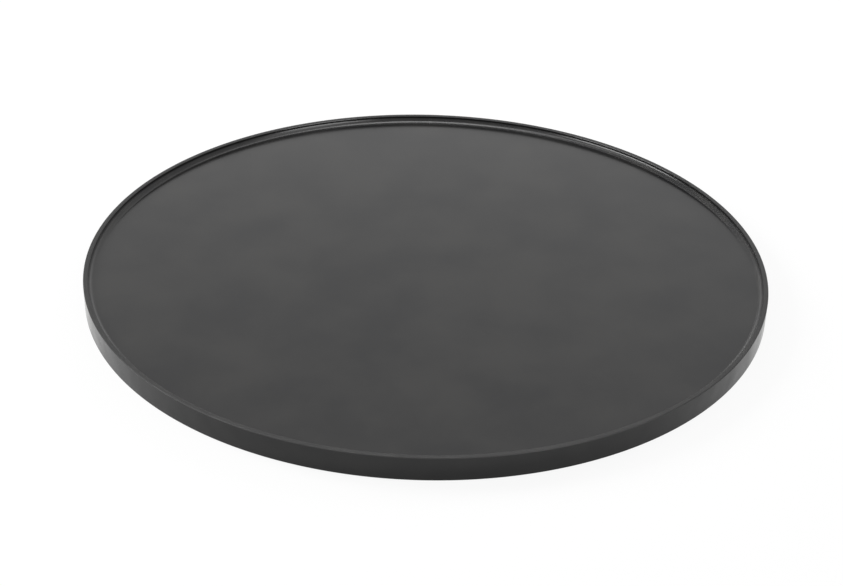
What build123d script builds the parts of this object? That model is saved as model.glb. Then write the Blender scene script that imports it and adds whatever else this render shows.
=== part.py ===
from build123d import *
import os
from math import degrees, radians, sin, sqrt

# Round flat-top griddle, fabricated from mild steel.
#
# A laser-cut disc is welded inside a hoop of flat bar that stands on edge. The hoop rises above the
# disc as a low rim and hangs below it as a skirt, and its bottom edge is what the griddle stands on.
# Under the disc, four half-lapped bars keep it flat over a fire.
#
# The origin is the centre of the resting plane, +Z points up, and the hoop's closing joint is at +Y.
# All sizes are in millimetres.

# Hoop: flat bar, rolled on edge
outside_diameter = 570.0
band_height = 20.0  # 20 x 4 mm bar
band_thickness = 4.0
band_top_edge_radius = 1.0  # eased edges of the rim
band_bottom_edge_chamfer = 0.6  # so that the griddle slides on a grate
joint_gap = 1.6  # between its square-cut ends, filled by the closing weld
joint_direction = 90.0  # degrees about Z from +X, at the back

# Disc
plate_thickness = 5.0
recess_depth = 6.0  # from the top of the rim down to the cooking face
plate_fit_gap = 0.15  # between the disc's edge and the hoop, all round

# Seal weld in the corner of the rim: a concave bead over the bevelled edge of the disc
corner_weld_leg = 4.0  # up the rim, and in over the disc
corner_weld_toe_angle = 5.0  # at which the bead leaves the rim and the disc
plate_bevel_depth = 2.0
bead_seat_gap = 0.1  # between a round bead and the round faces that it joins

# Stiffeners: lengths of 8 mm square bar, half-lapped where they cross
stiffener_thickness = 8.0
stiffener_offset = 110.0  # of each bar from the centre line
stiffener_end_gap = 14.0  # from the bars' end corners to the hoop
stiffener_ground_gap = 1.0  # so that the griddle stands on its hoop alone
stiffener_end_chamfer = 3.0
lap_clearance = 0.1  # each side of a bar in its notch

# Stitch welds on the underside: quarter-round beads
stitch_leg = 3.0
stitch_length = 30.0
skirt_stitch_count = 12
stiffener_stitch_margin = 12.0  # from a bar's end to its first bead
lap_weld_leg = 2.5

# Levels and radii that follow from them
band_inner_radius = outside_diameter / 2 - band_thickness
plate_radius = band_inner_radius - plate_fit_gap
joint_angle = degrees(joint_gap / band_inner_radius)
bead_outer_radius = band_inner_radius - bead_seat_gap
bead_toe_radius = bead_outer_radius - corner_weld_leg
floor_level = band_height - recess_depth
bevel_level = floor_level - plate_bevel_depth
underside_level = floor_level - plate_thickness
stiffener_height = underside_level - stiffener_ground_gap
stiffener_half_length = sqrt(
    (band_inner_radius - stiffener_end_gap) ** 2 - (stiffener_offset + stiffener_thickness / 2) ** 2
)


def turned(section, start=joint_direction, arc=360):
    """A section with its radius along X and its height along Y, turned about Z from start."""
    return Rot(0, 0, start) * revolve(Plane.XZ * section, Axis.Z, arc)


def turned_to_joint(section):
    """All the way round, from one side of the closing joint to the other."""
    return turned(section, joint_direction + joint_angle / 2, 360 - joint_angle)


def bar_section():
    """The flat bar on edge, its top edges rounded and its bottom edges chamfered."""
    middle = Pos(band_inner_radius + band_thickness / 2, band_height / 2)
    bar = middle * Rectangle(band_thickness, band_height)
    bar = fillet(bar.vertices().group_by(Axis.Y)[-1], band_top_edge_radius)
    return chamfer(bar.vertices().group_by(Axis.Y)[0], band_bottom_edge_chamfer)


def bead_section(outer_radius):
    """The seal weld: it fills the disc's bevel and sweeps up the rim in one concave curve."""
    bead_radius = corner_weld_leg * sqrt(0.5) / sin(radians(45 - corner_weld_toe_angle))
    rim_toe = (outer_radius, floor_level + bead_seat_gap + corner_weld_leg)
    disc_toe = (bead_toe_radius, floor_level + bead_seat_gap)
    root = (outer_radius, bevel_level + bead_seat_gap)
    return make_face(Polyline(disc_toe, root, rim_toe) + RadiusArc(rim_toe, disc_toe, bead_radius))


def rim_band():
    """The bar after rolling: a hoop that is still open at its square-cut ends."""
    return turned_to_joint(bar_section())


def rim_corner_weld():
    """The seal weld, run round the rim from one side of the closing joint to the other."""
    return turned_to_joint(bead_section(bead_outer_radius))


def rim_closing_weld():
    """The last weld: it joins the ends of the hoop, and of the seal weld, and is dressed flush."""
    section = bar_section() + bead_section(band_inner_radius)
    return turned(section, joint_direction - joint_angle / 2, joint_angle)


def griddle_plate():
    """The cooking disc, its top edge bevelled from just inside the toe of the seal weld."""
    section = Polygon(
        (0, underside_level),
        (plate_radius, underside_level),
        (plate_radius, bevel_level),
        (bead_toe_radius - bead_seat_gap, floor_level),
        (0, floor_level),
        align=None,
    )
    return turned(section)


def half_lapped_bar(notch_side):
    """One stiffener along X, its top on z = 0, with both notches open at the top (1) or bottom (-1)."""
    middle = Pos(0, 0, -stiffener_height / 2)
    bar = middle * Box(2 * stiffener_half_length, stiffener_thickness, stiffener_height)
    lower_end_edges = bar.edges().filter_by(Axis.Y).group_by(Axis.Z)[0]
    bar = chamfer(lower_end_edges, stiffener_end_chamfer)
    notch = Box(stiffener_thickness + 2 * lap_clearance, 2 * stiffener_thickness, stiffener_height)
    for x in (-stiffener_offset, stiffener_offset):
        bar -= Pos(x, 0, (notch_side - 1) * stiffener_height / 2) * notch
    return bar


def stiffener(angle):
    """A bar in its place: angle turns it about Z, and the second pair laps under the first."""
    notch_side = -1 if angle % 180 == 0 else 1
    return Rot(0, 0, angle) * Pos(0, -stiffener_offset, underside_level) * half_lapped_bar(notch_side)


def skirt_stitch_welds():
    """Beads between the disc's underside and the inside of the skirt, clear of the closing joint."""
    arc = degrees(stitch_length / band_inner_radius)
    half = stitch_leg / 2
    inward = Circle(stitch_leg) & Pos(-half, -half) * Rectangle(stitch_leg, stitch_leg)
    corner = Pos(bead_outer_radius, underside_level)
    pitch = 360 / skirt_stitch_count
    first = joint_direction + (pitch - arc) / 2
    return [turned(corner * inward, first + i * pitch, arc) for i in range(skirt_stitch_count)]


def stiffener_stitch_welds():
    """Three beads a bar: one outside near each end, and one inside at the middle."""
    section = Circle(stitch_leg) & Pos(stitch_leg / 2, -stitch_leg / 2) * Rectangle(stitch_leg, stitch_leg)
    bead = extrude(Plane.YZ * section, stitch_length / 2, both=True)
    inside = Pos(0, stiffener_thickness / 2, 0) * bead
    outside = Rot(0, 0, 180) * inside
    end_x = stiffener_half_length - stiffener_stitch_margin - stitch_length / 2
    one_bar = [Pos(-end_x, 0, 0) * outside, inside, Pos(end_x, 0, 0) * outside]
    place = Pos(0, -stiffener_offset, underside_level)
    return [Rot(0, 0, 90 * turn) * place * weld for turn in range(4) for weld in one_bar]


def stiffener_lap_welds():
    """Upright beads in two opposite corners of each crossing."""
    half = lap_weld_leg / 2
    outward = Circle(lap_weld_leg) & Pos(half, half) * Rectangle(lap_weld_leg, lap_weld_leg)
    outer_bead = extrude(outward, stiffener_height)
    inner_bead = Rot(0, 0, 180) * outer_bead
    outer_corner = stiffener_offset + stiffener_thickness / 2
    inner_corner = stiffener_offset - stiffener_thickness / 2
    pair = [
        Pos(outer_corner, outer_corner, stiffener_ground_gap) * outer_bead,
        Pos(inner_corner, inner_corner, stiffener_ground_gap) * inner_bead,
    ]
    return [Rot(0, 0, 90 * turn) * weld for turn in range(4) for weld in pair]


parts = {
    "griddle_plate": griddle_plate(),
    "rim_band": rim_band(),
    "rim_corner_weld": rim_corner_weld(),
    "rim_closing_weld": rim_closing_weld(),
    "skirt_stitch_welds": Compound(children=skirt_stitch_welds()),
    "stiffener_front": stiffener(0),
    "stiffener_right": stiffener(90),
    "stiffener_back": stiffener(180),
    "stiffener_left": stiffener(270),
    "stiffener_stitch_welds": Compound(children=stiffener_stitch_welds()),
    "stiffener_lap_welds": Compound(children=stiffener_lap_welds()),
}

os.makedirs("parts", exist_ok=True)
for name, shape in parts.items():
    export_step(shape, f"parts/{name}.step")
    print(name, len(shape.solids()), round(shape.volume))
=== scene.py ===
# %% [markdown]
# # A round flat-top griddle
#
# The real object is a steel griddle plate, the kind that lies over a round charcoal grill or a fire
# bowl. It is fabricated and not cast: a laser-cut disc sits inside a hoop of flat bar, a seal weld runs
# round the corner between them, and four bars under the disc keep it flat over the fire. The finished
# plate is coated satin black all over.
#
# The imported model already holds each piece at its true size. It could be painted as it is, but its
# round edges are faceted and its welds are plain quarter-rounds. So it is loaded as a fixed frame that
# nothing may move, and each piece is modelled again in its place, in metres, with the edges and the
# welds that the eye expects.

# %% Load the frame
import math

import bmesh
import bpy
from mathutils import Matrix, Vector


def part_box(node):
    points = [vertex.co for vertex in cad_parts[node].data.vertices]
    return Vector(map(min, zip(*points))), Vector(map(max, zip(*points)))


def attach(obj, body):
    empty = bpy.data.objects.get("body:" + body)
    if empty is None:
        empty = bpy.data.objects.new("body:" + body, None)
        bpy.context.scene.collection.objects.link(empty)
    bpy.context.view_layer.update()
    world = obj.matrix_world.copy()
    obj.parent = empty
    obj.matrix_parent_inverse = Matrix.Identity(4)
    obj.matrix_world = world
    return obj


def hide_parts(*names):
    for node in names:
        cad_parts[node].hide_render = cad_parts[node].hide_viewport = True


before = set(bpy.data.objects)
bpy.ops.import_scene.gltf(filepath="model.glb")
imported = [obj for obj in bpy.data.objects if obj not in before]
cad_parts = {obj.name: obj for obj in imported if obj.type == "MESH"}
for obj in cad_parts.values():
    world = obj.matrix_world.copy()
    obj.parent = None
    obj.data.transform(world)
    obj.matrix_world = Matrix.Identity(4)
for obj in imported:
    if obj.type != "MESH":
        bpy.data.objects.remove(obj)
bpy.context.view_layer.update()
print("nodes:", ", ".join(sorted(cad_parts)))

# %% [markdown]
# ## The sizes come from the frame
#
# A maker measures the job before cutting new stock for it. The heights are read from each node's box,
# and the radii from the least and the greatest distance of its corners from the middle of the griddle.
# Reading them, and not typing them, keeps every new piece true to the model.

# %% Measure the hoop, the disc and the seal weld
MM = 0.001


def reach(node):
    """The least and the greatest distance of a node's corners from the Z axis."""
    distances = [math.hypot(v.co.x, v.co.y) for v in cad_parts[node].data.vertices]
    return min(distances), max(distances)


def in_mm(*lengths):
    """Lengths written out in millimetres."""
    return ", ".join(f"{length / MM:.2f}" for length in lengths) + " mm"


hoop_inside, hoop_outside = reach("rim_band")
hoop_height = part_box("rim_band")[1].z
disc_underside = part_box("griddle_plate")[0].z
cooking_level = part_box("griddle_plate")[1].z
disc_radius = reach("griddle_plate")[1]
print("hoop: inner radius, outer radius and height", in_mm(hoop_inside, hoop_outside, hoop_height))
print("disc: radius, underside and face", in_mm(disc_radius, disc_underside, cooking_level))

# %% [markdown]
# The frame leaves a tenth of a millimetre between the seal weld and the steel, because a simulation
# needs its solids apart. Real weld metal is fused to both, so that gap is measured too, and closed in
# the new pieces. The closing joint of the hoop is the narrow wedge at the back, at +Y.

# %% Measure the welds' seats and the closing joint
weld_low, weld_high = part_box("rim_corner_weld")
seat_gap = hoop_inside - reach("rim_corner_weld")[1]
weld_root_level = weld_low.z - seat_gap
weld_leg = weld_high.z - seat_gap - cooking_level
toe_radius = hoop_inside - weld_leg
joint_angle = 2 * math.asin(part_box("rim_closing_weld")[1].x / hoop_outside)
print("seal weld: leg, seat gap and toe radius", in_mm(weld_leg, seat_gap, toe_radius))
print("closing joint: width", in_mm(joint_angle * hoop_inside))

# %% [markdown]
# ## Working by operator
#
# Every piece is modelled as by hand: a primitive, then edit mode, then modifiers that are applied. An
# operator acts on all that is selected, so each piece starts with nothing selected. Two helpers keep
# that tidy. The first clears the bench. The second picks corners, edges or faces by where they lie,
# which stays true when a count of segments changes, as a list of their numbers wouldn't.

# %% Clear the bench, and pick by place
def clear_bench():
    """Leaves edit mode and deselects everything, so that only the next primitive is selected."""
    if bpy.context.object and bpy.context.object.mode != "OBJECT":
        bpy.ops.object.mode_set(mode="OBJECT")
    bpy.ops.object.select_all(action="DESELECT")


def pick(kind, wanted):
    """In edit mode, selects the VERT, EDGE or FACE items whose middle answers wanted."""
    bpy.ops.mesh.select_mode(type=kind)
    bpy.ops.mesh.select_all(action="DESELECT")
    mesh = bmesh.from_edit_mesh(bpy.context.object.data)
    for item in {"VERT": mesh.verts, "EDGE": mesh.edges, "FACE": mesh.faces}[kind]:
        corners = [item] if kind == "VERT" else item.verts
        if wanted(sum((c.co for c in corners), Vector()) / len(corners)):
            item.select_set(True)
    bmesh.update_edit_mesh(bpy.context.object.data)


clear_bench()
print("still selected:", len(bpy.context.selected_objects))

# %% [markdown]
# A piece comes off the bench cleaned and measured. Its place goes into its mesh, so that the coating's
# pattern starts from the same point on every piece. Doubled corners merge, faces turn outward, and the
# shading is smooth only where the surface is really round. All of that could be done by hand at the end,
# but a helper can't forget a piece. It also counts open edges, which are holes in the skin.

# %% Finish a piece
MERGE_DISTANCE = 0.01 * MM


def open_edges(piece):
    """How many edges don't lie between exactly two faces: none, on a closed skin."""
    uses = {}
    for polygon in piece.data.polygons:
        for edge in polygon.edge_keys:
            uses[edge] = uses.get(edge, 0) + 1
    return sum(count != 2 for count in uses.values())


def finish_piece(name, smooth_degrees=30):
    """Gives the active piece its name, a clean closed mesh and the origin as its own."""
    piece = bpy.context.object
    if piece.mode != "OBJECT":
        bpy.ops.object.mode_set(mode="OBJECT")
    bpy.ops.object.transform_apply(location=True, rotation=True, scale=True)
    bpy.ops.object.mode_set(mode="EDIT")
    bpy.ops.mesh.select_all(action="SELECT")
    bpy.ops.mesh.remove_doubles(threshold=MERGE_DISTANCE)
    bpy.ops.mesh.normals_make_consistent(inside=False)
    bpy.ops.object.mode_set(mode="OBJECT")
    bpy.ops.object.shade_smooth_by_angle(angle=math.radians(smooth_degrees))
    piece.name = piece.data.name = name
    triangles = sum(len(p.vertices) - 2 for p in piece.data.polygons)
    print(f"{name}: {in_mm(*piece.dimensions)}, {triangles} triangles, {open_edges(piece)} open edges")
    return piece


print("corners merge within", in_mm(MERGE_DISTANCE))

# %% [markdown]
# ## The cooking disc
#
# On the bench this is one laser-cut disc of 5 mm plate with its top edge bevelled, so that the seal
# weld gets a groove to sink into. It could be a short cylinder with a bevel modifier, but the bevel is
# wider than it is deep. So a flat circle is extruded twice, once to where the bevel starts and once to
# the cooking face, and the last ring is drawn in. The flat face runs on a little under the toe of the
# weld, so that no slope shows beside it. The smooth shading stops at 15 degrees, or the slope of the
# bevel would bend the light over the whole flat face.

# %% Model the cooking disc
ROUND_STEPS = 720  # one each half degree
FACE_UNDER_TOE = 0.3 * MM
DISC_SMOOTH_DEGREES = 15

clear_bench()
bpy.ops.mesh.primitive_circle_add(
    vertices=ROUND_STEPS, radius=disc_radius, fill_type="NGON", location=(0, 0, disc_underside)
)
bpy.ops.object.mode_set(mode="EDIT")
bpy.ops.mesh.select_all(action="SELECT")
for rise in (weld_root_level - disc_underside, cooking_level - weld_root_level):
    bpy.ops.mesh.extrude_region_move(TRANSFORM_OT_translate={"value": (0, 0, rise)})
draw_in = (toe_radius + FACE_UNDER_TOE) / disc_radius
bpy.ops.transform.resize(value=(draw_in, draw_in, 1), center_override=(0, 0, cooking_level))
disc = finish_piece("cooking_disc", DISC_SMOOTH_DEGREES)

# %% [markdown]
# ## The hoop
#
# The rim and the skirt are one length of 20 x 4 mm flat bar, rolled on edge into a hoop. Its two upper
# edges are eased to a 1 mm round and its lower ones have a small chamfer. A tube primitive would need
# its edges found and bevelled all the way round, so the bar's own section is drawn first, small and easy
# to shape, standing at the back of the griddle.

# %% Draw the section of the bar
TOP_ROUND = 1.0 * MM
BOTTOM_CHAMFER = 0.6 * MM
QUARTER_TURN = math.radians(90)
bar_thickness = hoop_outside - hoop_inside


def draw_bar_section():
    """The flat bar cut across, standing at the back in the plane X = 0. It is left in edit mode."""
    clear_bench()
    middle = (0, hoop_inside + bar_thickness / 2, hoop_height / 2)
    bpy.ops.mesh.primitive_plane_add(size=1, location=middle, rotation=(0, QUARTER_TURN, 0))
    bpy.ops.object.transform_apply(location=True, rotation=True)
    bpy.ops.object.mode_set(mode="EDIT")
    bpy.ops.transform.resize(value=(1, bar_thickness, hoop_height), center_override=middle)
    pick("VERT", lambda place: place.z > middle[2])
    bpy.ops.mesh.bevel(offset=TOP_ROUND, segments=6, profile=0.5, affect="VERTICES")
    pick("VERT", lambda place: place.z < MERGE_DISTANCE)
    bpy.ops.mesh.bevel(offset=BOTTOM_CHAMFER, segments=1, affect="VERTICES")
    bpy.ops.mesh.select_all(action="SELECT")


print("bar section: thickness and height", in_mm(bar_thickness, hoop_height))

# %% [markdown]
# The section is spun round the middle, as the rolls would carry the bar. A Screw modifier would do the
# same, but the spin leaves a plain mesh at once. It stops just short of a full turn, which leaves the
# open joint that the closing weld fills. A bevel this small would tilt the shading of the wide faces
# beside it, so a Weighted Normal modifier gives those faces the last word.

# %% Spin it into a hoop
def spin_round(arc, steps, turn):
    """Spins the section about the Z axis, and turns the result so that it lies evenly about +Y."""
    bpy.ops.mesh.spin(steps=steps, angle=arc, center=(0, 0, 0), axis=(0, 0, 1))
    bpy.ops.object.mode_set(mode="OBJECT")
    bpy.context.object.rotation_euler.z = turn


def hold_flats():
    """Lets the wide flat faces rule the shading, so that a small round doesn't dim its neighbours."""
    weighted = bpy.context.object.modifiers.new("hold_flats", "WEIGHTED_NORMAL")
    weighted.keep_sharp = True
    bpy.ops.object.modifier_apply(modifier=weighted.name)


draw_bar_section()
spin_round(2 * math.pi - joint_angle, ROUND_STEPS, -joint_angle / 2)
hoop = finish_piece("rim_hoop")
hold_flats()
ends = [v.co.x for v in hoop.data.vertices if v.co.y > 0 and abs(v.co.x) < bar_thickness / 2]
print("open joint: left and right end", in_mm(max(x for x in ends if x < 0), min(x for x in ends if x > 0)))

# %% [markdown]
# ## The seal weld
#
# This is the part of the job that takes the most skill: one bead laid over the disc's bevel all the way
# round, washed up the hoop, and dressed to a smooth hollow so that food and a scraper meet no corner.
# A quarter-round tube would be the wrong way out. The face of a hollow bead is an arc that meets both
# faces at about 5 degrees, so a wire circle is laid where the grinding wheel would pass, all but the
# arc between the two toes is deleted, the wire is run down to the root, and the outline is filled.

# %% Draw and spin the seal weld
TOE_DEGREES = 5
WIRE_CORNERS = 72  # one each 5 degrees, so that both toes fall on a corner
wheel_radius = weld_leg * math.sqrt(0.5) / math.sin(math.radians(45 - TOE_DEGREES))
wheel_out = toe_radius - wheel_radius * math.sin(math.radians(TOE_DEGREES))
wheel_up = cooking_level + wheel_radius * math.cos(math.radians(TOE_DEGREES))
upper_toe_level = cooking_level + weld_leg


def draw_weld_section():
    """The hollow bead cut across, at the back in the plane X = 0. It is left in edit mode."""
    clear_bench()
    middle = (0, wheel_out, wheel_up)
    bpy.ops.mesh.primitive_circle_add(
        vertices=WIRE_CORNERS, radius=wheel_radius, location=middle, rotation=(0, QUARTER_TURN, 0)
    )
    bpy.ops.object.transform_apply(location=True, rotation=True)
    bpy.ops.object.mode_set(mode="EDIT")
    near = MERGE_DISTANCE
    pick("VERT", lambda place: place.y < toe_radius - near or place.z > upper_toe_level + near)
    bpy.ops.mesh.delete(type="VERT")
    pick("VERT", lambda place: place.z > upper_toe_level - near)
    drop = (0, 0, weld_root_level - upper_toe_level)
    bpy.ops.mesh.extrude_vertices_move(TRANSFORM_OT_translate={"value": drop})
    bpy.ops.mesh.select_all(action="SELECT")
    bpy.ops.mesh.edge_face_add()


draw_weld_section()
spin_round(2 * math.pi - joint_angle, ROUND_STEPS, -joint_angle / 2)
seal_weld = finish_piece("seal_weld")

# %% [markdown]
# ## The closing weld
#
# The last run fills the joint between the ends of the hoop, and ties the two ends of the seal weld. It
# is dressed flush, and all that shows under the coating is a faint line on each side. It could be a
# small block, but a dressed weld takes the shape of what it joins. So the same two sections are spun
# through the width of the joint, and a Boolean union makes them one piece. It is shrunk by five
# thousandths of a millimetre, so that it lies just below the bar as a ground weld does.

# %% Model the closing weld
GROUND_BELOW = 0.005 * MM
JOINT_STEPS = 4

draw_weld_section()
spin_round(joint_angle, JOINT_STEPS, joint_angle / 2)
seal_part = finish_piece("closing_weld_seal_part")
draw_bar_section()
spin_round(joint_angle, JOINT_STEPS, joint_angle / 2)
closing_weld = finish_piece("closing_weld")
union = closing_weld.modifiers.new("tie_seal_weld", "BOOLEAN")
union.operation = "UNION"
union.object = seal_part
bpy.ops.object.modifier_apply(modifier=union.name)
bpy.data.objects.remove(seal_part)
bpy.ops.object.mode_set(mode="EDIT")
bpy.ops.mesh.select_all(action="SELECT")
bpy.ops.transform.shrink_fatten(value=-GROUND_BELOW)
closing_weld = finish_piece("closing_weld")
hold_flats()

# %% [markdown]
# ## The stiffening bars
#
# Four lengths of 8 mm square bar cross under the disc like a noughts and crosses board. Where two
# cross, each is sawn half through and they lap together, so all four lie flat against the plate. The
# lower corner of each end is sawn off, to clear the grate. A bevel modifier at the very end would round
# the sawn cuts too, so the order is the workshop's: the bar gets its rounded arrises from the mill, and
# then its ends are cut with a bisecting plane.

# %% Mill a bar and saw its ends
bar_low, bar_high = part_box("stiffener_front")
half_length = bar_high.x
bar_side = bar_high.z - bar_low.z
bar_middle = (bar_low + bar_high) / 2
bar_offset = -bar_middle.y
ARRIS_ROUND = 0.6 * MM
END_CUT = 3.0 * MM
print("bars: side, length and distance from the middle", in_mm(bar_side, 2 * half_length, bar_offset))


def mill_bar():
    """One bar in the front place, with round arrises and both ends sawn. It is left in edit mode."""
    clear_bench()
    bpy.ops.mesh.primitive_cube_add(size=1, location=bar_middle)
    bpy.ops.transform.resize(value=(2 * half_length, bar_side, bar_side))
    bpy.ops.object.transform_apply(location=True, scale=True)
    bpy.ops.object.mode_set(mode="EDIT")
    pick("EDGE", lambda place: abs(place.x) < MM)
    bpy.ops.mesh.bevel(offset=ARRIS_ROUND, segments=3, affect="EDGES")
    for end in (-1, 1):
        bpy.ops.mesh.select_all(action="SELECT")
        bpy.ops.mesh.bisect(
            plane_co=(end * (half_length - END_CUT), 0, bar_low.z),
            plane_no=(end, 0, -1),
            use_fill=True,
            clear_outer=True,
        )


# %% [markdown]
# A half lap is a square notch, half as deep as the bar. It could be cut by hand from inset faces, but a
# block the size of the saw cut, taken away by a Boolean, is what the saw does. A second helper copies a
# finished piece, each copy with its own mesh, and turns it about the middle of the griddle.

# %% Cut the half-lap notches
NOTCH_CLEARANCE = 0.1 * MM  # on each side of the bar that crosses


def cut_notches(bar, notch_level):
    """Takes a block out of the bar at each crossing, half as deep as the bar is high."""
    for x in (-bar_offset, bar_offset):
        clear_bench()
        bpy.ops.mesh.primitive_cube_add(size=1, location=(x, bar_middle.y, notch_level))
        bpy.ops.transform.resize(value=(bar_side + 2 * NOTCH_CLEARANCE, 2 * bar_side, bar_side))
        block = bpy.context.object
        clear_bench()
        bar.select_set(True)
        bpy.context.view_layer.objects.active = bar
        cut = bar.modifiers.new("notch", "BOOLEAN")
        cut.operation = "DIFFERENCE"
        cut.object = block
        bpy.ops.object.modifier_apply(modifier=cut.name)
        bpy.data.objects.remove(block)


def copy_piece(piece, name, degrees=0, shift=(0, 0, 0)):
    """A copy with its own mesh, moved, then turned about the middle of the griddle."""
    clear_bench()
    piece.select_set(True)
    bpy.context.view_layer.objects.active = piece
    bpy.ops.object.duplicate(linked=False)
    copy = bpy.context.object
    copy.location = shift
    bpy.ops.object.transform_apply(location=True)
    copy.rotation_euler.z = math.radians(degrees)
    bpy.ops.object.transform_apply(rotation=True)
    copy.name = copy.data.name = name
    return copy


print("notches are", in_mm(bar_side + 2 * NOTCH_CLEARANCE), "wide and", in_mm(bar_side / 2), "deep")

# %% [markdown]
# Only two bars are really made, because the front and back ones are alike, and so are the right and left
# ones. The first pair is notched from below and the second from above. The second is modelled at the
# front too and then turned, as the cutting is easier to describe there.

# %% Make the four bars
bars = {}
for first, second, turn, notch_level in (
    ("front", "back", 0, bar_low.z),
    ("right", "left", 90, bar_high.z),
):
    mill_bar()
    bar = finish_piece("stiffener_bar_" + first)
    cut_notches(bar, notch_level)
    bar = finish_piece("stiffener_bar_" + first)
    hold_flats()
    bar.rotation_euler.z = math.radians(turn)
    bpy.ops.object.transform_apply(rotation=True)
    bars["stiffener_" + first] = bar
    bars["stiffener_" + second] = copy_piece(bar, "stiffener_bar_" + second, 180)
print("bars:", ", ".join(piece.name for piece in bars.values()))

# %% [markdown]
# ## The stitch welds
#
# Under the disc the pieces are held by short stitches of weld. Such a bead is a row of little frozen
# pools, each lapping over the last like coins in a spilled stack, and it is never dressed where it
# doesn't show. The ripple could be painted on with a bump map, but its outline would stay straight. So
# one coin is squashed from a sphere and tilted, an Array lays the row, a voxel Remesh melts it into one
# skin, and a Smooth softens it. Two bisecting planes cut it flat where it lies against the steel.

# %% Lay one rippled bead
RIPPLE_PITCH = 1.5 * MM
COIN_HALF = 2.0 * MM
COIN_SHARE = 0.67  # of the leg, where that makes a thinner coin
COIN_TILT = math.radians(18)
MELT_GRAIN = 0.3 * MM
BEAD_SMOOTH_DEGREES = 40


def lay_bead(name, leg, length):
    """A bead along X at the origin, with one steel face above it and the other behind it, at +Y."""
    coin_half = min(COIN_HALF, leg * COIN_SHARE)
    run = length - 2 * coin_half
    count = round(run / RIPPLE_PITCH) + 1
    clear_bench()
    bpy.ops.mesh.primitive_uv_sphere_add(segments=32, ring_count=16, radius=leg)
    bpy.ops.transform.resize(value=(coin_half / leg, 1, 1))
    bpy.context.object.rotation_euler.y = COIN_TILT
    bpy.context.object.location.x = -run / 2
    bpy.ops.object.transform_apply(location=True, rotation=True, scale=True)
    row = bpy.context.object.modifiers.new("row", "ARRAY")
    row.count = count
    row.use_relative_offset = False
    row.use_constant_offset = True
    row.constant_offset_displace = (run / (count - 1), 0, 0)
    melt = bpy.context.object.modifiers.new("melt", "REMESH")
    melt.mode = "VOXEL"
    melt.voxel_size = MELT_GRAIN
    soften = bpy.context.object.modifiers.new("soften", "SMOOTH")
    soften.factor = 0.5
    soften.iterations = 2
    for modifier in (row, melt, soften):
        bpy.ops.object.modifier_apply(modifier=modifier.name)
    bpy.ops.object.mode_set(mode="EDIT")
    for steel_face in ((0, 0, 1), (0, 1, 0)):
        bpy.ops.mesh.select_all(action="SELECT")
        bpy.ops.mesh.bisect(plane_co=(0, 0, 0), plane_no=steel_face, use_fill=True, clear_outer=True)
    return finish_piece(name, BEAD_SMOOTH_DEGREES)


STITCH_LENGTH = 30 * MM
stitch_leg = disc_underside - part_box("stiffener_stitch_welds")[0].z
stitch = lay_bead("stitch", stitch_leg, STITCH_LENGTH)

# %% [markdown]
# The same bead serves under the whole disc. Twelve stitches tie the disc to the skirt, one each 30
# degrees and clear of the closing joint. A straight bead against a curved wall sinks a little into it
# at both ends, which is where a weld tails off anyway. Each bar gets three: outside near each end, and
# inside at the middle. The bead that was modelled first only served as the pattern, so it is removed.

# %% Stitch the disc to the skirt and to the bars
SKIRT_STITCHES = 12
END_MARGIN = 12 * MM  # from a bar's end to its first bead
welds = {"skirt_stitch_welds": [], "stiffener_stitch_welds": [], "stiffener_lap_welds": []}
for i in range(SKIRT_STITCHES):
    angle = 360 / SKIRT_STITCHES * (i + 0.5)
    bead = copy_piece(stitch, f"skirt_bead_{i + 1:02d}", angle, (0, hoop_inside, disc_underside))
    welds["skirt_stitch_welds"].append(bead)

inner_stitch = copy_piece(stitch, "inner_stitch", 180)
end_x = half_length - END_MARGIN - STITCH_LENGTH / 2
outer_face, inner_face = -bar_offset - bar_side / 2, -bar_offset + bar_side / 2
for side, turn in (("front", 0), ("right", 90), ("back", 180), ("left", 270)):
    for mark, pattern, x, y in (
        ("a", stitch, -end_x, outer_face),
        ("b", inner_stitch, 0, inner_face),
        ("c", stitch, end_x, outer_face),
    ):
        bead = copy_piece(pattern, f"bar_bead_{side}_{mark}", turn, (x, y, disc_underside))
        welds["stiffener_stitch_welds"].append(bead)
for pattern in (stitch, inner_stitch):
    bpy.data.objects.remove(pattern)
print({node: len(beads) for node, beads in welds.items()})

# %% [markdown]
# Each half-lap is closed by two upright beads, in opposite corners of the crossing. They are the same
# kind of bead, smaller, stood on end, and again one is modelled and the rest are copies.

# %% Weld the half-laps
lap_low, lap_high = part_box("stiffener_lap_welds")
lap_leg = lap_high.x - bar_offset - bar_side / 2
inward = lay_bead("inward", lap_leg, lap_high.z - lap_low.z)
inward.rotation_euler.y = QUARTER_TURN
bpy.ops.object.transform_apply(rotation=True)
outward = copy_piece(inward, "outward", 180)
for corner, turn in (("back_right", 0), ("back_left", 90), ("front_left", 180), ("front_right", 270)):
    for mark, pattern, edge in (
        ("outside", outward, bar_offset + bar_side / 2),
        ("inside", inward, bar_offset - bar_side / 2),
    ):
        bead = copy_piece(pattern, f"lap_bead_{corner}_{mark}", turn, (edge, edge, bar_middle.z))
        welds["stiffener_lap_welds"].append(bead)
for pattern in (inward, outward):
    bpy.data.objects.remove(pattern)
print(len(welds["stiffener_lap_welds"]), "upright beads of", in_mm(lap_leg))

# %% [markdown]
# ## The coating
#
# The whole griddle wears one thin coat of heat-proof satin black, sprayed on and baked. It looks like
# one flat colour only from afar. Close up it is cloudy, because the coat is thicker in some places than
# in others, and it has the faint dimpling that painters call orange peel. A picture of paint would need
# a flat unwrap, and would repeat, so the coat is grown from noise that reads Object coordinates and lies
# still on the steel. First come three small helpers, for the nodes that are needed again and again.

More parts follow.
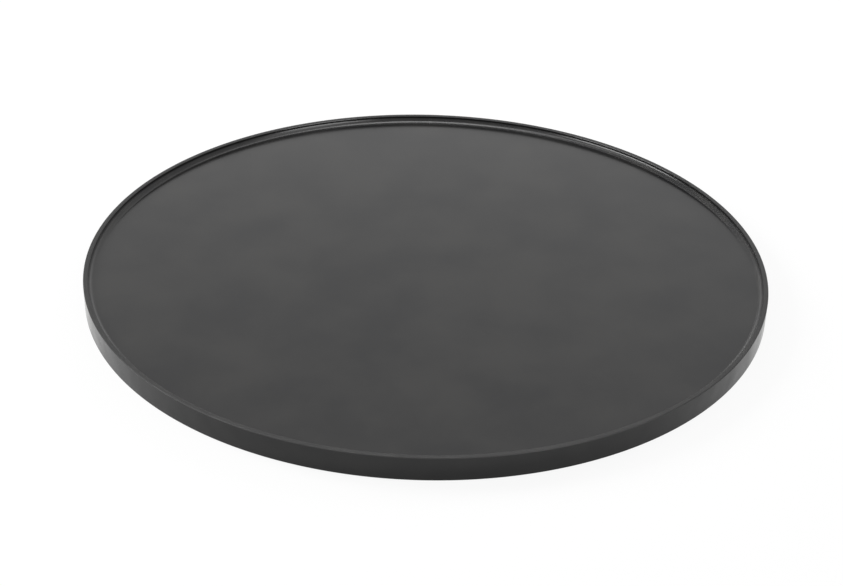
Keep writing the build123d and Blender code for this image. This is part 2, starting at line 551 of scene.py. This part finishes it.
# %% Noise, ramps and sums
def noise(tree, place, size, detail, offset):
    """Soft noise whose blobs are about size metres across."""
    mapping = tree.nodes.new("ShaderNodeMapping")
    mapping.inputs["Location"].default_value = (offset, offset, offset)
    texture = tree.nodes.new("ShaderNodeTexNoise")
    texture.inputs["Scale"].default_value = 1 / size
    texture.inputs["Detail"].default_value = detail
    tree.links.new(place, mapping.inputs["Vector"])
    tree.links.new(mapping.outputs["Vector"], texture.inputs["Vector"])
    return texture.outputs["Fac"]


def ramp(tree, source, start, end, low=0.0, high=1.0):
    """From low where the source is at start, to high where it is at end, and level beyond them."""
    node = tree.nodes.new("ShaderNodeMapRange")
    node.inputs["From Min"].default_value = start
    node.inputs["From Max"].default_value = end
    node.inputs["To Min"].default_value = low
    node.inputs["To Max"].default_value = high
    tree.links.new(source, node.inputs["Value"])
    return node.outputs["Result"]


def reckon(tree, operation, *sources):
    """A math node. Each source is a socket to link, or a plain number."""
    node = tree.nodes.new("ShaderNodeMath")
    node.operation = operation
    for socket, source in zip(node.inputs, sources):
        if isinstance(source, float):
            socket.default_value = source
        else:
            tree.links.new(source, socket)
    return node.outputs["Value"]


# %% [markdown]
# Four layers make the coat: clouds in the colour, clouds in the roughness, wide low swells in the
# surface, and the dimples on top of them. The swells could be modelled, but they are so low and so wide
# that only the light shows them, and two Bump nodes in a row do it. A number that is the same all over,
# such as the index of refraction, is set on the shader itself.

# %% Mix one satin black
COAT_IOR = 1.385
CLOUD_EDGES = (0.35, 0.65)
RUB_EDGES = (0.3, 0.7)
DIMPLE_SIZE = 1.6 * MM
SWELL_SIZE = 1.3  # times the size of the clouds


def bump(tree, height, distance):
    """A Bump node at full strength, as high as distance."""
    node = tree.nodes.new("ShaderNodeBump")
    node.inputs["Strength"].default_value = 1.0
    node.inputs["Distance"].default_value = distance
    tree.links.new(height, node.inputs["Height"])
    return node


def satin_black(
    name,
    thin,
    thick,
    roughness,
    dimple_height=0.006 * MM,
    cloud_size=55 * MM,
    rub_size=14 * MM,
    swell_height=0.12 * MM,
    offset=0.0,
    ior=COAT_IOR,
):
    """The coating: thin and thick are its colours, roughness its lowest and highest value."""
    material = bpy.data.materials.new(name)
    material.use_nodes = True
    tree = material.node_tree
    coat = tree.nodes["Principled BSDF"]
    coat.inputs["IOR"].default_value = ior
    place = tree.nodes.new("ShaderNodeTexCoord").outputs["Object"]

    tint = tree.nodes.new("ShaderNodeValToRGB")
    for stop, edge, colour in zip(tint.color_ramp.elements, CLOUD_EDGES, (thick, thin)):
        stop.position = edge
        stop.color = (*colour, 1)
    tree.links.new(noise(tree, place, cloud_size, detail=3.0, offset=offset), tint.inputs["Fac"])
    tree.links.new(tint.outputs["Color"], coat.inputs["Base Color"])

    rub = noise(tree, place, rub_size, detail=4.0, offset=offset + 1)
    tree.links.new(ramp(tree, rub, *RUB_EDGES, *roughness), coat.inputs["Roughness"])

    wide = noise(tree, place, cloud_size * SWELL_SIZE, detail=1.0, offset=offset + 3)
    fine = noise(tree, place, DIMPLE_SIZE, detail=1.0, offset=offset + 2)
    swells, dimples = bump(tree, wide, swell_height), bump(tree, fine, dimple_height)
    tree.links.new(swells.outputs["Normal"], dimples.inputs["Normal"])
    tree.links.new(dimples.outputs["Normal"], coat.inputs["Normal"])
    return material


# %% [markdown]
# One coat would do for a bracket, but the steel under it differs, and so does the gun's distance. The
# wide plate has large calm clouds. The rolled bar is smoother and glossier, and waves a little where the
# rolls held it. The welds hold more dimples. The square bars underneath got the last, dry pass. The
# offsets start each pattern somewhere else, so that no two pieces share a cloud.

# %% Four coats for four kinds of steel
PLATE_COAT = satin_black(
    "satin_black_on_plate",
    thin=(0.016, 0.0155, 0.015),
    thick=(0.008, 0.008, 0.0085),
    roughness=(0.18, 0.22),
)
BAND_COAT = satin_black(
    "satin_black_on_flat_bar",
    thin=(0.006, 0.0058, 0.0056),
    thick=(0.003, 0.003, 0.0032),
    roughness=(0.08, 0.19),
    cloud_size=18 * MM,
    rub_size=30 * MM,
    swell_height=0.6 * MM,
    offset=7.0,
    ior=1.45,
)
WELD_COAT = satin_black(
    "satin_black_on_weld",
    thin=(0.015, 0.0145, 0.014),
    thick=(0.008, 0.008, 0.0085),
    roughness=(0.19, 0.25),
    dimple_height=0.010 * MM,
    cloud_size=20 * MM,
    offset=13.0,
)
BAR_COAT = satin_black(
    "satin_black_on_square_bar",
    thin=(0.014, 0.0135, 0.013),
    thick=(0.007, 0.007, 0.0075),
    roughness=(0.26, 0.36),
    dimple_height=0.014 * MM,
    cloud_size=30 * MM,
    offset=19.0,
)
print("coats:", ", ".join(coat.name for coat in (PLATE_COAT, BAND_COAT, WELD_COAT, BAR_COAT)))

# %% [markdown]
# Wet paint pulls back from a sharp edge, and hands and a scraper rub it there, so the hoop's outer upper
# edge and its very top are duller than its sides. They could be a second material, but its border would
# show. Instead the roughness grows by how far out and how high a point lies, which Object coordinates
# tell: the length of X and Y together is the distance from the middle.

# %% Dull the rubbed edges of the hoop
EDGE_FADE = (1.3 * MM, 0.7 * MM)  # how far short of the outside and the top it starts and is full
TOP_FADE = (0.5 * MM, 0.2 * MM)  # the same for the very top
RUBBED_ROUGHNESS = 0.5


def dull_rim_top(material):
    """Adds roughness on the hoop's outer upper edge and on its very top."""
    tree = material.node_tree
    place = tree.nodes["Texture Coordinate"].outputs["Object"]
    flat = tree.nodes.new("ShaderNodeVectorMath")
    flat.operation = "MULTIPLY"
    flat.inputs[1].default_value = (1, 1, 0)
    tree.links.new(place, flat.inputs[0])
    length = tree.nodes.new("ShaderNodeVectorMath")
    length.operation = "LENGTH"
    tree.links.new(flat.outputs["Vector"], length.inputs[0])
    radius = length.outputs["Value"]
    split = tree.nodes.new("ShaderNodeSeparateXYZ")
    tree.links.new(place, split.inputs["Vector"])
    height = split.outputs["Z"]
    outside = ramp(tree, radius, hoop_outside - EDGE_FADE[0], hoop_outside - EDGE_FADE[1])
    upper = ramp(tree, height, hoop_height - EDGE_FADE[0], hoop_height - EDGE_FADE[1])
    summit = ramp(tree, height, hoop_height - TOP_FADE[0], hoop_height - TOP_FADE[1])
    rubbed = reckon(tree, "MAXIMUM", reckon(tree, "MULTIPLY", outside, upper), summit)
    roughness = tree.nodes["Principled BSDF"].inputs["Roughness"]
    clouds = roughness.links[0].from_socket
    tree.links.new(reckon(tree, "MULTIPLY_ADD", rubbed, RUBBED_ROUGHNESS, clouds), roughness)


dull_rim_top(BAND_COAT)
print("nodes in the hoop's coat:", len(BAND_COAT.node_tree.nodes))

# %% [markdown]
# ## Fitting the pieces to the frame
#
# The griddle has no joint, so every piece rides on the one body, root. Each piece gets its coat in a
# material slot, and the node of the frame that it stands for is hidden, so that the plain solid isn't
# shown. That could be written out forty times, but a loop over each kind of weld can't leave a bead out.

# %% Coat, ride, replace and slot
def fit_piece(piece, node, coat):
    """Coats a piece, and puts it in the place of its node."""
    piece.data.materials.clear()
    piece.data.materials.append(coat)
    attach(piece, "root")
    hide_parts(node)


fit_piece(disc, "griddle_plate", PLATE_COAT)
fit_piece(hoop, "rim_band", BAND_COAT)
fit_piece(seal_weld, "rim_corner_weld", WELD_COAT)
fit_piece(closing_weld, "rim_closing_weld", BAND_COAT)
for node, bar in bars.items():
    fit_piece(bar, node, BAR_COAT)
for node, beads in welds.items():
    for bead in beads:
        fit_piece(bead, node, WELD_COAT)
print("nodes still shown:", [n for n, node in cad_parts.items() if not node.hide_render])

# %% [markdown]
# ## The studio
#
# The griddle lies on a wide pale sweep. It is to look white and still keep the object's shadow. More
# light would whiten the paper, and wash out the griddle too. So the paper is ordinary and pale, and a
# share of plain white is mixed in for the camera's own rays, and for gloss and glass that mirror it. A
# Light Path node tells which kind of ray asks.

# %% Lay the white sweep
WHITE_SHARE = {"Is Camera Ray": 0.9, "Is Glossy Ray": 0.5, "Is Transmission Ray": 0.5}
PAPER_GREY = 0.92
PAPER_ROUGHNESS = 0.9
SWEEP_SIZE = 12


def by_ray(tree, amounts):
    """For each kind of ray its amount. A ray is of one kind at a time, so they are added up."""
    rays = tree.nodes.new("ShaderNodeLightPath")
    total = 0.0
    for kind, amount in amounts.items():
        total = reckon(tree, "MULTIPLY_ADD", rays.outputs[kind], amount, total)
    return total


def white_paper():
    """Pale matt paper, whitened by a share of plain white light."""
    paper = bpy.data.materials.new("white_paper")
    paper.use_nodes = True
    tree = paper.node_tree
    matt = tree.nodes["Principled BSDF"]
    matt.inputs["Base Color"].default_value = (PAPER_GREY, PAPER_GREY, PAPER_GREY, 1)
    matt.inputs["Roughness"].default_value = PAPER_ROUGHNESS
    matt.inputs["Specular IOR Level"].default_value = 0.0
    white = tree.nodes.new("ShaderNodeEmission")
    white.inputs["Strength"].default_value = 1.0
    blend = tree.nodes.new("ShaderNodeMixShader")
    tree.links.new(by_ray(tree, WHITE_SHARE), blend.inputs[0])
    tree.links.new(matt.outputs[0], blend.inputs[1])
    tree.links.new(white.outputs[0], blend.inputs[2])
    tree.links.new(blend.outputs[0], tree.nodes["Material Output"].inputs["Surface"])
    return paper


clear_bench()
bpy.ops.mesh.primitive_plane_add(size=SWEEP_SIZE)
sweep = bpy.context.object
sweep.name = "white_sweep"
sweep.data.materials.append(white_paper())
print("sweep:", SWEEP_SIZE, "m wide")

# %% [markdown]
# An even white sky surrounds the bench. The camera and the gloss see it at full white, and the paint is
# lit by about half of it, because the two lamps below give the rest. A picture of a real studio would
# light it as well, but a plain sky can't leave odd shapes in the gloss.

# %% An even white sky
SKY_LEVEL = {"Is Camera Ray": 1.0, "Is Glossy Ray": 1.0, "Is Transmission Ray": 1.0, "Is Diffuse Ray": 0.55}

sky = bpy.data.worlds.new("even_sky")
bpy.context.scene.world = sky
sky.use_nodes = True
background = sky.node_tree.nodes["Background"]
background.inputs["Color"].default_value = (1, 1, 1, 1)
sky.node_tree.links.new(by_ray(sky.node_tree, SKY_LEVEL), background.inputs["Strength"])
print("sky:", SKY_LEVEL)

# %% [markdown]
# Black paint shows little but what it mirrors, so it is lit as a studio lights a car: soft boxes stand
# round it and each draws one highlight. Two lamps, the key and the fill, reach only the paint and give
# the plain level. All the others reach only the gloss. One lamp for both would be simpler, but then a
# highlight couldn't be placed without changing the level of the paint.
#
# The overhead box and the low and raised ones make the bright lines round the rim. They are linked to
# the pieces of the rim alone: seen from the back or from above, the disc would mirror them and turn grey.

# %% Make a soft box
BOX_DISTANCE = 3.0


def soft_box(name, azimuth, elevation, width, height, radiance, lights="gloss", only=None):
    """A soft light. Azimuth turns from the front to the right, in degrees, as seen from above."""
    a, e = math.radians(azimuth), math.radians(elevation)
    towards = Vector((math.sin(a) * math.cos(e), -math.cos(a) * math.cos(e), math.sin(e)))
    place = towards * BOX_DISTANCE
    lamp = bpy.data.lights.new(name, "AREA")
    lamp.shape = "RECTANGLE"
    lamp.size, lamp.size_y = width, height
    lamp.energy = radiance * math.pi * width * height  # a flat lamp's power for that radiance
    box = bpy.data.objects.new(name, lamp)
    bpy.context.scene.collection.objects.link(box)
    box.location = place
    box.rotation_euler = (-place).to_track_quat("-Z", "Y").to_euler()
    box.visible_camera = False
    box.visible_diffuse = lights == "paint"
    box.visible_glossy = lights == "gloss"
    if only:
        box.light_linking.receiver_collection = only


rim_pieces = bpy.data.collections.new("rim_pieces")
for piece in (hoop, seal_weld, closing_weld):
    rim_pieces.objects.link(piece)

# %% [markdown]
# The numbers say where each box hangs, in degrees round from the front and up from the bench, then its
# width and height in metres, and its radiance, where 1 shows as plain white. The key comes from behind
# on the left. The boxes on the left are stronger than those on the right, so that the rim isn't alike on
# both sides, and the high one behind puts a soft sheen on the far half of the disc.

# %% Hang the soft boxes
soft_box("key", -110, 30, 1.4, 1.4, 15, lights="paint")
soft_box("fill", 132, 24, 1.4, 1.4, 7, lights="paint")
soft_box("overhead", 180, 86, 1.3, 1.3, 7, only=rim_pieces)
soft_box("back_high", 168, 65, 1.05, 1.17, 3.2)
soft_box("back_low", 180, 16, 2.4, 0.8, 0.25)
soft_box("left_high", -72, 65, 1.05, 1.17, 4.4)
soft_box("left_middle", -84, 43, 0.92, 1.17, 2.5)
soft_box("right_middle", 54, 43, 1.38, 1.17, 2.3)
soft_box("right_high", 84, 65, 1.6, 1.17, 1.4)
soft_box("left_low", -74, 7, 2.3, 0.75, 15, only=rim_pieces)
soft_box("left_raised", -60, 23, 1.15, 0.95, 3, only=rim_pieces)
soft_box("right_low", 40, 7, 1.5, 0.75, 10, only=rim_pieces)
soft_box("right_raised", 40, 23, 1.5, 0.95, 5, only=rim_pieces)

# %% [markdown]
# ## The camera
#
# The camera looks down at the griddle from the front, about 30 degrees above the bench, with a lens that
# is long enough to keep the circle an even ellipse. It could be turned by three angles, but a place to
# stand and a point to look at are easier to think about. The point is a little in front of the middle,
# and the camera is rolled by about 1.4 degrees, as a hand-held one would be.

# %% Set up the camera
CAMERA_PLACE = Vector((0, -1.24815, 0.72811))
CAMERA_AIM = Vector((-0.00317, -0.05975, 0.020))
CAMERA_ROLL = math.radians(1.358)
LENS_MM, SENSOR_MM = 72.65, 36

camera_data = bpy.data.cameras.new("camera")
camera_data.sensor_width = SENSOR_MM
camera_data.lens = LENS_MM
camera = bpy.data.objects.new("camera", camera_data)
bpy.context.scene.collection.objects.link(camera)
camera.location = CAMERA_PLACE
camera.rotation_euler = (CAMERA_AIM - CAMERA_PLACE).to_track_quat("-Z", "Y").to_euler()
camera.rotation_euler.rotate_axis("Z", CAMERA_ROLL)
bpy.context.scene.camera = camera
bpy.context.scene.view_settings.view_transform = "Standard"
print(f"camera {(CAMERA_AIM - CAMERA_PLACE).length:.2f} m from its aim")
